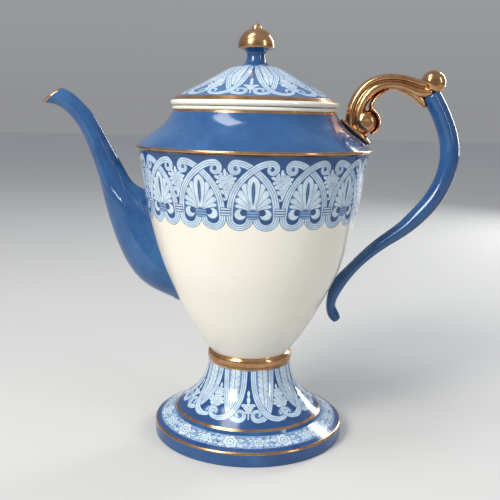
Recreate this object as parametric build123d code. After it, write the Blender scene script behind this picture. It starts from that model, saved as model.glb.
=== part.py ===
from build123d import *

import math
import os

# A footed porcelain pot for tea or coffee: a tapered vessel on a flared foot, with a swan-neck spout, a
# looped handle that starts in a gilt scroll, and a loose conical lid with a mushroom knob. The pot is a set
# of castings luted together before firing. Millimetres, +Z up. The origin is the centre of the foot's resting
# ring, the spout points along -X and the handle along +X.

# Driving dimensions
WALL = 3.2  # cast wall of the vessel, the shoulder and the foot
SPOUT_WALL = 2.3
LIP_WALL = 1.5
LID_WALL = 3.0

FOOT_R = 57.8
FOOT_EDGE_Z = 7.6  # top of the foot's upright edge
FOOT_RING_W = 4.5  # the ring that the pot stands on
FOOT_BAND_TOP = (45.6, 13.5)  # upper end of the shallow slope above the edge
FOOT_STEP_TOP = (44.8, 15.6)
FOOT_TOP_Z = 44.8
SPIGOT_R = 19.0  # the foot's top stub, which the collar ring surrounds
COLLAR_LOW_R = 24.6
COLLAR_R = 25.8
COLLAR_MID_Z = 48.4
COLLAR_TOP_Z = 52.6
VESSEL_BASE_Z = 50.4
VESSEL_BASE_R = 22.8
VESSEL_FLOOR = 4.6
FLOOR_CORNER = 9.0  # how far the rounded corner reaches in over the vessel's floor
VESSEL_TOP_Z = 172.8
VESSEL_TOP_R = 67.4
SHOULDER_EDGE_R = 69.2
SHOULDER_EDGE_Z = 174.9
NECK_R = 47.5
NECK_TOP_Z = 195.6
NECK_BORE_R = 44.0
RIM_R = 48.3
RIM_TOP_Z = 197.7
LID_GAP = 0.3  # lid disc over rim
LID_R = 49.3
LID_DISC_H = 3.2
FLANGE_R = 43.0
FLANGE_WALL = 2.8
FLANGE_DEPTH = 10.0
FLANGE_ROUND = 1.4
LID_TOP_Z = 221.4
STEM_BASE_R = 8.8
CAP_BASE_Z = 230.8
CAP_R = 10.5
BUD_R = 3.0
TOTAL_H = 245.0

STRAINER_HOLE_R = 2.0
STRAINER_ROWS_Z = range(95, 124, 7)
STRAINER_PITCH = 8.0
STRAINER_X = -54.0
VENT_R = 1.1
VENT_AT = (0, 24.0, 214.0)

THUMB_BALL_R, THUMB_BALL_AT = 7.1, (103.4, 0, 214.1)
VOLUTE_BALL_R, VOLUTE_BALL_AT = 7.7, (64.8, 0, 190.6)
PAD_AT, PAD_HALF_SIZE = (60.0, 0, 182.6), (11.6, 7.6, 4.4)

LID_BASE_Z = RIM_TOP_Z + LID_GAP

# Outer outlines as (radius, height), from the bottom up
FOOT_SKIRT = [
    (43.8, 16.4),
    (39.5, 19.8),
    (35.0, 23.8),
    (31.0, 28.5),
    (28.3, 33.0),
    (26.6, 37.5),
    (25.0, FOOT_TOP_Z),
]
VESSEL_SIDE = [
    (VESSEL_BASE_R, VESSEL_BASE_Z),
    (31.3, 61.8),
    (39.3, 75.0),
    (46.4, 89.0),
    (52.7, 103.0),
    (58.0, 120.3),
    (62.2, 138.6),
    (65.2, 156.6),
    (VESSEL_TOP_R, VESSEL_TOP_Z),
]
SHOULDER_SIDE = [
    (SHOULDER_EDGE_R, SHOULDER_EDGE_Z),
    (63.4, 179.4),
    (56.8, 184.2),
    (51.3, 189.4),
    (NECK_R, NECK_TOP_Z),
]
LID_CONE = [
    (46.0, 203.2),
    (39.2, 206.9),
    (29.8, 211.9),
    (20.4, 217.0),
    (14.6, 219.9),
    (STEM_BASE_R, LID_TOP_Z),
]


def at(point):
    """The 3-D place of an outline point (radius, height), in the XZ plane."""
    return (point[0], 0, point[1])


def inset(outline, depth):
    """The outline moved inwards by depth, square to itself at each point."""
    moved = []
    for i, (r, z) in enumerate(outline):
        before, after = outline[max(i - 1, 0)], outline[min(i + 1, len(outline) - 1)]
        run, rise = after[0] - before[0], after[1] - before[1]
        length = math.hypot(run, rise)
        moved.append((r - depth * rise / length, z + depth * run / length))
    return moved


def curve(outline):
    return Spline(*[at(p) for p in outline])


def path(*points):
    """Straight edges through outline points."""
    return [Line(at(a), at(b)) for a, b in zip(points, points[1:])]


def turned(*edges):
    """The solid swept by a closed outline turned once about the pot's axis."""
    flat = []
    for edge in edges:
        flat += edge if isinstance(edge, list) else [edge]
    return revolve(Face(Wire(flat)), Axis.Z, 360)


def arc(a, via, b):
    return ThreePointArc(at(a), at(via), at(b))


def section(inner, outer, half_width, wall=0.0):
    """An ellipse across the XZ plane between two edge points, drawn in by a wall."""
    (x0, z0), (x1, z1) = inner, outer
    depth = math.hypot(x1 - x0, z1 - z0)
    ux, uz = (x1 - x0) / depth, (z1 - z0) / depth
    plane = Plane(origin=((x0 + x1) / 2, 0, (z0 + z1) / 2), x_dir=(ux, 0, uz), z_dir=(-uz, 0, ux))
    return plane * Ellipse(depth / 2 - wall, half_width - wall)


def strap(stations):
    """A solid limb through stations (x, z, half depth, half width), each section square to the run."""
    sections = []
    for i, (x, z, half_depth, half_width) in enumerate(stations):
        before, after = stations[max(i - 1, 0)], stations[min(i + 1, len(stations) - 1)]
        run, rise = after[0] - before[0], after[1] - before[1]
        length = math.hypot(run, rise)
        nx, nz = rise / length, -run / length
        inner = (x - nx * half_depth, z - nz * half_depth)
        outer = (x + nx * half_depth, z + nz * half_depth)
        sections.append(section(inner, outer, half_width))
    return loft(sections)


def ball(radius, centre):
    return Pos(*centre) * Sphere(radius)


# --- Foot -------------------------------------------------------------------------------------------------

def foot_pedestal():
    """Flared and open beneath, with a stepped edge and a stub on top that carries the vessel."""
    ring_in = FOOT_R - FOOT_RING_W
    toe, side_low = (FOOT_R - 0.8, 0), (FOOT_R, 1.0)
    side_high, band_low = (FOOT_R - 0.1, FOOT_EDGE_Z), (FOOT_R - 0.6, FOOT_EDGE_Z + 1.0)
    outside = path((ring_in, 0), toe) + [
        arc(toe, (FOOT_R - 0.2, 0.3), side_low),
        Line(at(side_low), at(side_high)),
        arc(side_high, (FOOT_R - 0.25, FOOT_EDGE_Z + 0.6), band_low),
    ]
    outside += path(band_low, FOOT_BAND_TOP, FOOT_STEP_TOP, FOOT_SKIRT[0]) + [curve(FOOT_SKIRT)]
    hollow = inset(FOOT_SKIRT, WALL)
    stub = path(FOOT_SKIRT[-1], (SPIGOT_R, FOOT_TOP_Z), (SPIGOT_R, VESSEL_BASE_Z), (0, VESSEL_BASE_Z))
    roof_z = hollow[-2][1]
    inside = path((0, VESSEL_BASE_Z), (0, roof_z), hollow[-2]) + [curve(hollow[-2::-1])]
    inside += path(hollow[0], (ring_in - 1.5, 6.4), (ring_in, 0))
    return turned(outside, stub, inside)


def collar_ring(vessel_blank, foot):
    """The round moulding that hides the joint between foot and vessel."""
    low, high = (SPIGOT_R, FOOT_TOP_Z), (VESSEL_BASE_R + 0.6, COLLAR_TOP_Z)
    edges = [
        Line(at(low), at((COLLAR_LOW_R, FOOT_TOP_Z))),
        arc((COLLAR_LOW_R, FOOT_TOP_Z), (COLLAR_R, COLLAR_MID_Z), high),
        path(high, (SPIGOT_R, COLLAR_TOP_Z), low),
    ]
    return turned(*edges) - vessel_blank - foot


# --- Vessel and shoulder ----------------------------------------------------------------------------------

def vessel_blank():
    """The vessel's outside as one solid, which its neighbours are fitted to."""
    axis_top, axis_low = (0, VESSEL_TOP_Z), (0, VESSEL_BASE_Z)
    return turned(curve(VESSEL_SIDE), path(VESSEL_SIDE[-1], axis_top, axis_low, VESSEL_SIDE[0]))


def vessel_hollow():
    side = inset(VESSEL_SIDE, WALL)[1:]
    side[-1] = (side[-1][0], VESSEL_TOP_Z)
    floor_z = VESSEL_BASE_Z + VESSEL_FLOOR
    corner = (side[0][0] - FLOOR_CORNER, floor_z)
    bowl = Spline(at(corner), *[at(p) for p in side], tangents=[(1, 0, 0), (0.12, 0, 1)])
    return turned(bowl, path(side[-1], (0, VESSEL_TOP_Z), (0, floor_z), corner))


def strainer_holes():
    """Rows of holes through the wall behind the spout, drilled level."""
    holes = []
    for row, z in enumerate(STRAINER_ROWS_Z):
        count = 3 if row % 2 == 0 else 2
        for k in range(count):
            y = (k - (count - 1) / 2) * STRAINER_PITCH
            holes.append(Pos(STRAINER_X, y, z) * Rot(0, 90, 0) * Cylinder(STRAINER_HOLE_R, 10 * WALL))
    return holes


def vessel_body():
    return vessel_blank() - vessel_hollow() - strainer_holes()


def shoulder_neck():
    """The concave slope from the sharp widest edge up to the short neck."""
    inner = inset(SHOULDER_SIDE, WALL)
    inner[0] = (VESSEL_TOP_R - WALL, VESSEL_TOP_Z)
    inner[-1] = (NECK_BORE_R, NECK_TOP_Z)
    low_edge = (SHOULDER_EDGE_R - 0.2, VESSEL_TOP_Z + 0.6)
    outer = path((VESSEL_TOP_R, VESSEL_TOP_Z), low_edge, SHOULDER_SIDE[0]) + [curve(SHOULDER_SIDE)]
    lower_face = path(inner[0], (VESSEL_TOP_R, VESSEL_TOP_Z))
    return turned(outer, path(SHOULDER_SIDE[-1], inner[-1]), curve(inner[::-1]), lower_face)


def neck_rim():
    """The plain rolled rim that the lid's disc rests on."""
    low, high = (RIM_R - 1.0, NECK_TOP_Z), (RIM_R - 1.0, RIM_TOP_Z)
    return turned(
        path((NECK_BORE_R, NECK_TOP_Z), low),
        arc(low, (RIM_R, (NECK_TOP_Z + RIM_TOP_Z) / 2), high),
        path(high, (NECK_BORE_R, RIM_TOP_Z), (NECK_BORE_R, NECK_TOP_Z)),
    )


# --- Spout ------------------------------------------------------------------------------------------------

# Inner edge (towards the vessel), outer edge and half width, from the lip down to the root inside the vessel
SPOUT_STATIONS = [
    ((-113.0, 206.6), (-124.6, 197.8), 5.0),
    ((-107.6, 204.2), (-116.6, 196.6), 4.9),
    ((-101.6, 199.2), (-110.0, 192.4), 4.9),
    ((-94.9, 191.8), (-104.4, 185.8), 5.2),
    ((-88.8, 182.0), (-100.0, 177.8), 5.8),
    ((-82.8, 171.0), (-96.2, 168.2), 6.6),
    ((-77.0, 160.8), (-93.0, 158.6), 7.6),
    ((-71.6, 152.4), (-90.8, 150.4), 9.0),
    ((-63.2, 147.2), (-88.2, 139.2), 12.2),
    ((-53.0, 136.0), (-84.4, 125.8), 15.6),
    ((-46.0, 122.0), (-77.2, 108.0), 18.4),
    ((-39.0, 111.0), (-64.4, 91.8), 19.2),
    ((-34.0, 101.0), (-44.5, 82.2), 16.0),
]


def spout_limb(lip_wall=0.0, wall=0.0):
    last = len(SPOUT_STATIONS) - 1
    sections = []
    for i, (inner, outer, half_width) in enumerate(SPOUT_STATIONS):
        here = lip_wall if i == 0 else wall
        sections.append(section(inner, outer, half_width, here if i < last else wall))
    return loft(sections)


def lip_opener():
    """A short plug over the lip's plane, so that the channel runs out of the spout's end."""
    inner, outer, half_width = SPOUT_STATIONS[0]
    mouth = section(inner, outer, half_width, LIP_WALL)
    return extrude(mouth, 0.5, both=True)


def spout(blank):
    """The limb cut off where it meets the vessel, then bored from lip to vessel wall."""
    outside = spout_limb() - blank
    return outside - spout_limb(LIP_WALL, SPOUT_WALL) - lip_opener()


# --- Handle -----------------------------------------------------------------------------------------------

# x, z, half depth, half width
LOOP_STATIONS = [
    (102.2, 207.2, 5.6, 6.2),
    (106.7, 200.0, 5.5, 6.2),
    (111.2, 190.9, 5.5, 6.2),
    (114.6, 181.0, 5.6, 6.2),
    (115.6, 171.0, 5.6, 6.1),
    (114.2, 161.6, 5.5, 6.0),
    (110.7, 152.3, 5.4, 5.8),
    (105.2, 143.2, 5.3, 5.6),
    (98.3, 135.2, 5.1, 5.4),
    (90.0, 127.4, 4.5, 5.1),
    (80.0, 120.2, 4.0, 4.8),
    (69.6, 111.6, 3.5, 4.6),
    (60.0, 101.6, 3.4, 4.6),
    (53.0, 92.4, 3.9, 4.6),
    (49.8, 84.6, 3.2, 4.6),
    (49.2, 79.0, 2.9, 4.5),
    (50.8, 74.2, 3.4, 4.2),
    (53.2, 70.6, 2.6, 3.2),
]
ARM_STATIONS = [
    (58.4, 183.6, 5.4, 5.2),
    (58.4, 190.0, 5.4, 4.9),
    (58.9, 197.4, 5.3, 5.1),
    (61.6, 204.4, 5.2, 5.4),
    (66.8, 210.2, 5.0, 5.4),
    (74.0, 213.4, 4.8, 5.4),
    (81.6, 213.8, 4.8, 5.5),
    (89.0, 212.2, 5.4, 5.8),
    (95.4, 209.6, 6.6, 6.2),
    (100.4, 208.4, 6.8, 6.2),
]


def handle_parts(vessel, shoulder):
    """The blue loop, the gilt arm, its two balls and the leaf-shaped pad it stands on."""
    thumb = ball(THUMB_BALL_R, THUMB_BALL_AT)
    rise = SHOULDER_SIDE[2][1] - SHOULDER_EDGE_Z
    slope = math.degrees(math.atan2(rise, SHOULDER_EDGE_R - SHOULDER_SIDE[2][0]))
    pad = Pos(*PAD_AT) * Rot(0, slope, 0) * scale(Sphere(1.0), by=PAD_HALF_SIZE) - shoulder
    pad = pad.solids().sort_by(SortBy.VOLUME)[-1]
    volute = ball(VOLUTE_BALL_R, VOLUTE_BALL_AT) - pad - shoulder
    arm = strap(ARM_STATIONS) - thumb - volute - pad - shoulder
    loop = strap(LOOP_STATIONS) - thumb - arm - vessel
    return {
        "handle_loop": loop,
        "handle_scroll_arm": arm,
        "handle_thumb_ball": thumb,
        "handle_volute_ball": volute,
        "handle_scroll_pad": pad,
    }


# --- Lid --------------------------------------------------------------------------------------------------

def lid_shell():
    """A thin cone over a rolled disc, hollow beneath, with a vent at the back."""
    mid_z = LID_BASE_Z + LID_DISC_H / 2
    disc_low, disc_high = (LID_R - 1.3, LID_BASE_Z), (LID_R - 0.9, LID_BASE_Z + LID_DISC_H)
    hollow = inset(LID_CONE, LID_WALL)
    roof_z = LID_TOP_Z - LID_WALL
    hollow[-1] = (STEM_BASE_R, roof_z)
    inner_low = (FLANGE_R - FLANGE_WALL, LID_BASE_Z)
    shell = turned(
        path(inner_low, disc_low),
        arc(disc_low, (LID_R, mid_z), disc_high),
        path(disc_high, LID_CONE[0]),
        curve(LID_CONE),
        path(LID_CONE[-1], (0, LID_TOP_Z), (0, roof_z), hollow[-1]),
        curve(hollow[:0:-1]),
        path(hollow[1], inner_low),
    )
    vent = Pos(*VENT_AT) * Cylinder(VENT_R, 6 * LID_WALL)
    return shell - vent


def lid_flange():
    """The locating ring that drops into the neck's bore."""
    top, low = LID_BASE_Z, LID_BASE_Z - FLANGE_DEPTH
    inner = FLANGE_R - FLANGE_WALL
    side_low, foot = (FLANGE_R, low + FLANGE_ROUND), (FLANGE_R - FLANGE_ROUND, low)
    return turned(
        path((inner, top), (FLANGE_R, top), side_low),
        arc(side_low, (FLANGE_R - 0.4, low + 0.4), foot),
        path(foot, (inner, low), (inner, top)),
    )


def knob_stem():
    neck = [(STEM_BASE_R, LID_TOP_Z), (6.6, 222.9), (5.4, 225.8), (5.5, 228.4), (8.6, CAP_BASE_Z)]
    return turned(curve(neck), path(neck[-1], (0, CAP_BASE_Z), (0, LID_TOP_Z), neck[0]))


def knob_cap(bud):
    low = (CAP_R - 0.9, CAP_BASE_Z)
    dome = [(CAP_R, 232.0), (10.2, 235.0), (8.6, 238.3), (5.8, 240.9), (2.0, 242.4)]
    cap = turned(
        arc(low, (CAP_R - 0.2, 231.1), dome[0]),
        curve(dome),
        path(dome[-1], (0, 242.5), (0, CAP_BASE_Z), low),
    )
    return cap - bud


def main():
    os.makedirs("parts", exist_ok=True)
    blank, vessel, shoulder, foot = vessel_blank(), vessel_body(), shoulder_neck(), foot_pedestal()
    bud = ball(BUD_R, (0, 0, TOTAL_H - BUD_R))
    parts = {
        "foot_pedestal": foot,
        "collar_ring": collar_ring(blank, foot),
        "vessel_body": vessel,
        "shoulder_neck": shoulder,
        "neck_rim": neck_rim(),
        "spout": spout(blank),
        "lid_shell": lid_shell(),
        "lid_flange": lid_flange(),
        "knob_stem": knob_stem(),
        "knob_cap": knob_cap(bud),
        "knob_bud": bud,
    }
    parts.update(handle_parts(vessel, shoulder))
    for name, part in parts.items():
        solids = part.solids()
        print(name, len(solids), round(sum(s.volume for s in solids)), all(s.is_valid for s in solids))
        export_step(Compound(solids) if len(solids) > 1 else solids[0], f"parts/{name}.step")


main()
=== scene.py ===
import math
import random

import bmesh
import bpy
import numpy as np
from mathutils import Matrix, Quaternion, Vector, geometry


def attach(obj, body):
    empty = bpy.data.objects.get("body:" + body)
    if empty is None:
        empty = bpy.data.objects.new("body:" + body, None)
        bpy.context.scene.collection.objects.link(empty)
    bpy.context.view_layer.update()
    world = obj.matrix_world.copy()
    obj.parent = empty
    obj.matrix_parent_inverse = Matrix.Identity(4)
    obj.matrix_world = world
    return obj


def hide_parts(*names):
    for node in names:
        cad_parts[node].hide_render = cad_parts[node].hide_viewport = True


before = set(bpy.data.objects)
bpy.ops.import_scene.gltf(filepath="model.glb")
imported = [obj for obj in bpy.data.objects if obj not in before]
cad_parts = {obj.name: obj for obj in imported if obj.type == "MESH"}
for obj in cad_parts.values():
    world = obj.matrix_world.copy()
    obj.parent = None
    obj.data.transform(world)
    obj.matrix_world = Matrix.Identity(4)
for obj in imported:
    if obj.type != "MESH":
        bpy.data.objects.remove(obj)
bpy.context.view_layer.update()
MM = 0.001
TAU = 2 * math.pi

# --- Tones of the print -----------------------------------------------------------------------------------
GLAZE, WHITE, PALE, MID, DEEP = range(5)

# --- Outlines ---------------------------------------------------------------------------------------------


def spline(points, step=0.8):
    """A natural cubic curve through points, about step mm apart. Values after the first two ride along it."""
    n = len(points)
    dims = range(len(points[0]))
    if n == 2:
        a, b = points
        count = max(1, round(math.hypot(b[0] - a[0], b[1] - a[1]) / step))
        return [tuple(a[k] + (b[k] - a[k]) * i / count for k in dims) for i in range(count + 1)]
    t = [0.0]
    for a, b in zip(points, points[1:]):
        t.append(t[-1] + math.hypot(b[0] - a[0], b[1] - a[1]))
    seconds = [_second_derivatives(t, [p[k] for p in points]) for k in dims]
    out = [points[0]]
    for i in range(n - 1):
        h = t[i + 1] - t[i]
        count = max(1, round(h / step))
        for j in range(1, count + 1):
            b = j / count
            a = 1 - b
            bend_a, bend_b = (a ** 3 - a) * h * h / 6, (b ** 3 - b) * h * h / 6
            out.append(tuple(
                a * points[i][k] + b * points[i + 1][k] + bend_a * seconds[k][i] + bend_b * seconds[k][i + 1]
                for k in dims
            ))
    return out


def _second_derivatives(t, y):
    """Natural cubic spline's second derivatives at its points."""
    n = len(t)
    m = [0.0] * n
    diag, right = [1.0] * n, [0.0] * n
    upper = [0.0] * n
    for i in range(1, n - 1):
        a, b = t[i] - t[i - 1], t[i + 1] - t[i]
        w = a / diag[i - 1]
        diag[i] = 2 * (a + b) - w * upper[i - 1]
        upper[i] = b
        rise = 6 * ((y[i + 1] - y[i]) / b - (y[i] - y[i - 1]) / a)
        right[i] = rise - w * right[i - 1]
    for i in range(n - 2, 0, -1):
        m[i] = (right[i] - upper[i] * m[i + 1]) / diag[i]
    return m


class Profile:
    """One smooth run of a turned outline, (radius, height) in mm. Its left side, going along, is outside."""

    def __init__(self, points, step=1.0):
        self.points = points if step is None else spline(points, step)
        self.s = [0.0]
        for a, b in zip(self.points, self.points[1:]):
            self.s.append(self.s[-1] + math.hypot(b[0] - a[0], b[1] - a[1]))
        self.length = self.s[-1]
        self.slopes = []
        last = len(self.points) - 1
        for i in range(last + 1):
            a, b = self.points[max(i - 1, 0)], self.points[min(i + 1, last)]
            span = math.hypot(b[0] - a[0], b[1] - a[1])
            self.slopes.append(((b[0] - a[0]) / span, (b[1] - a[1]) / span))
        if last >= 2:
            for end, near in ((0, 1), (last, last - 1)):
                a, b = self.points[end], self.points[near]
                sign = 1 if end == 0 else -1
                span = math.hypot(b[0] - a[0], b[1] - a[1])
                chord = (sign * (b[0] - a[0]) / span, sign * (b[1] - a[1]) / span)
                run = 2 * chord[0] - self.slopes[near][0], 2 * chord[1] - self.slopes[near][1]
                size = math.hypot(*run)
                self.slopes[end] = (run[0] / size, run[1] / size)

    def at(self, s):
        """(radius, height, normal radius part, normal height part) at arc length s."""
        s = min(max(s, 0.0), self.length)
        lo, hi = 0, len(self.s) - 1
        while hi - lo > 1:
            mid = (lo + hi) // 2
            if self.s[mid] <= s:
                lo = mid
            else:
                hi = mid
        f = (s - self.s[lo]) / (self.s[hi] - self.s[lo])
        r = self.points[lo][0] * (1 - f) + self.points[hi][0] * f
        z = self.points[lo][1] * (1 - f) + self.points[hi][1] * f
        tr = self.slopes[lo][0] * (1 - f) + self.slopes[hi][0] * f
        tz = self.slopes[lo][1] * (1 - f) + self.slopes[hi][1] * f
        size = math.hypot(tr, tz)
        return r, z, tz / size, -tr / size


# --- Flat drawing -----------------------------------------------------------------------------------------
# Shapes are drawn in mm: x across the surface at its own radius, y along the outline from the zone's start.


def bow(p0, p1, p2, p3, n=14):
    """Cubic Bezier points."""
    out = []
    for i in range(n + 1):
        t = i / n
        a, b, c, d = (1 - t) ** 3, 3 * t * (1 - t) ** 2, 3 * t * t * (1 - t), t ** 3
        out.append(tuple(a * p0[k] + b * p1[k] + c * p2[k] + d * p3[k] for k in (0, 1)))
    return out


def arc(cx, cy, r, a0, a1, n=14, r1=None):
    """Arc points from angle a0 to a1 in degrees, spiralling to radius r1 if given."""
    out = []
    for i in range(n + 1):
        t = i / n
        a = math.radians(a0 + (a1 - a0) * t)
        rr = r if r1 is None else r + (r1 - r) * t
        out.append((cx + rr * math.cos(a), cy + rr * math.sin(a)))
    return out


def side(path, offset):
    """The path moved sideways; offset is a number or a function of 0..1 along it. Positive is to its left."""
    out = []
    last = len(path) - 1
    for i, (x, y) in enumerate(path):
        a, b = path[max(i - 1, 0)], path[min(i + 1, last)]
        dx, dy = b[0] - a[0], b[1] - a[1]
        size = math.hypot(dx, dy) or 1e-9
        o = offset(i / last) if callable(offset) else offset
        out.append((x - dy / size * o, y + dx / size * o))
    return out


def ribbon(path, width):
    """The outline of a stroke of that width; width may be a function of 0..1 along it."""
    half = (lambda t: width(t) / 2) if callable(width) else width / 2
    back = (lambda t: -width(t) / 2) if callable(width) else -width / 2
    return side(path, back) + side(path, half)[::-1]


def leaf(x, y, angle, length, width, fat=0.45, n=7):
    """A pointed leaf from (x, y), widest at fat of its length."""
    right, left = [], []
    for i in range(n + 1):
        t = i / n
        w = (t / fat) ** 0.8 if t < fat else ((1 - t) / (1 - fat)) ** 0.75
        w = width / 2 * math.sin(min(w, 1) * math.pi / 2)
        right.append((t * length, -w))
        left.append((t * length, w))
    c, s = math.cos(math.radians(angle)), math.sin(math.radians(angle))
    outline = right + left[-2:0:-1]
    return [(x + p * c - q * s, y + p * s + q * c) for p, q in outline]


def mirrored(points):
    return [(-x, y) for x, y in points][::-1]


class Drawing:
    """Shapes laid over each other in order, each with a tone."""

    def __init__(self):
        self.shapes = []

    def add(self, tone, outline, at=0.0):
        """at is how far round the shape is turned, in repeats."""
        self.shapes.append((tone, outline, at))

    def both(self, tone, outline):
        self.add(tone, outline)
        self.add(tone, mirrored(outline))

    def line(self, tone, path, width, both=False):
        (self.both if both else self.add)(tone, ribbon(path, width))

    def stretched(self, factor):
        """The drawing made that much wider."""
        self.shapes = [(tone, [(x * factor, y) for x, y in outline], at) for tone, outline, at in self.shapes]
        return self

    def place(self, other, dy=0.0, at=0.0):
        """Another drawing's shapes, moved up by dy mm and round by at repeats."""
        for tone, outline, _ in other.shapes:
            self.add(tone, [(x, y + dy) for x, y in outline], at)


MERGE = 0.02  # points of the drawing nearer than this become one


def within(points, outline):
    """Which rows of points, an array of (x, y), the outline winds around."""
    x, y = points[:, 0, None], points[:, 1, None]
    ax, ay = np.array(outline).T
    bx, by = np.roll(ax, -1), np.roll(ay, -1)
    left_of = (bx - ax) * (y - ay) - (x - ax) * (by - ay)
    up = (ay <= y) & (by > y) & (left_of > 0)
    down = (ay > y) & (by <= y) & (left_of < 0)
    return up.sum(1) != down.sum(1)


def frame_of(xs, ys):
    """The closed loop around a grid."""
    loop = [(x, ys[0]) for x in xs] + [(xs[-1], y) for y in ys[1:]]
    return loop + [(x, ys[-1]) for x in xs[-2::-1]] + [(xs[0], y) for y in ys[-2:0:-1]]


def triangulate(loops, loose):
    """Triangles, all turning left, through the loops and the loose points: (points, tris, middles)."""
    exact, edges = [], []
    for loop in loops:
        start, count = len(exact), len(loop)
        exact += loop
        edges += [(start + k, start + (k + 1) % count) for k in range(count)]
    exact += loose
    co, _, tris, sources, _, _ = geometry.delaunay_2d_cdt([Vector(p) for p in exact], edges, [], 0, MERGE)
    flat = np.array([exact[source[0]] if source else tuple(p) for p, source in zip(co, sources)])
    tris = np.array(tris)
    a, b, c = (flat[tris[:, k]] for k in range(3))
    twice = (b[:, 0] - a[:, 0]) * (c[:, 1] - a[:, 1]) - (c[:, 0] - a[:, 0]) * (b[:, 1] - a[:, 1])
    tris[twice < 0] = tris[twice < 0][:, ::-1]
    kept = np.abs(twice) > 1e-9
    return flat, tris[kept], ((a + b + c) / 3)[kept]


def cell_mesh(drawing, profile, repeats, grid, base, narrowest=0.0, hole=None):
    """Triangles of one repeat, as ([(theta, s)], [(a, b, c)], [tone]). grid is (columns, rows).

    Above the height where the radius is narrowest, shapes shrink in width with it.
    """
    ref = max(p[0] for p in profile.points)
    width = TAU / repeats * ref
    cols, rows = grid
    xs = [-width / 2 + width * i / cols for i in range(cols + 1)]
    ys = [profile.length * j / rows for j in range(rows + 1)]
    shapes = []
    for tone, outline, at in drawing.shapes:
        spread = []
        for x, y in outline:
            scale = ref / max(profile.at(y)[0], narrowest)
            spread.append((x * scale + at * width, min(max(y, 0.05), profile.length - 0.05)))
        low, high = min(p[0] for p in spread), max(p[0] for p in spread)
        for shift in (-width, 0.0, width):
            if high + shift < -width / 2 - 0.01 or low + shift > width / 2 + 0.01:
                continue
            shapes.append((tone, [(x + shift, y) for x, y in spread]))
    cut_out = [[(theta * ref, s) for theta, s in hole]] if hole else []
    loose = []
    for i in range(1, cols):
        for j in range(1, rows):
            nudge = 0.11 * math.sin(7.3 * i + 3.1 * j)
            loose.append((xs[i] + nudge, ys[j] + 0.09 * math.cos(5.1 * i + 2.7 * j)))
    loops = [frame_of(xs, ys)] + cut_out + [outline for _, outline in shapes]
    flat, tris, middle = triangulate(loops, loose)
    kept = np.abs(middle[:, 0]) < width / 2
    for outline in cut_out:
        kept &= ~within(middle, outline)
    tris, middle = tris[kept], middle[kept]
    tones = np.full(len(tris), float(base))
    for tone, outline in shapes:
        corner, far = np.min(outline, axis=0), np.max(outline, axis=0)
        near = np.nonzero(((middle >= corner) & (middle <= far)).all(1))[0]
        tones[near[within(middle[near], outline)]] = tone
    left, right = (np.nonzero(np.abs(flat[:, 0] - x) < 1e-4)[0] for x in (xs[0], xs[-1]))
    for i in left:
        twin = right[np.argmin(np.abs(flat[right, 1] - flat[i, 1]))]
        if abs(flat[twin, 1] - flat[i, 1]) < 2 * MERGE:
            flat[i, 1] = flat[twin, 1]
    used, tris = np.unique(tris, return_inverse=True)
    tris = tris.reshape(-1, 3)
    return [(x / ref, y) for x, y in flat[used]], tris.tolist(), tones.tolist()


# --- Turned pieces ----------------------------------------------------------------------------------------


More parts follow.
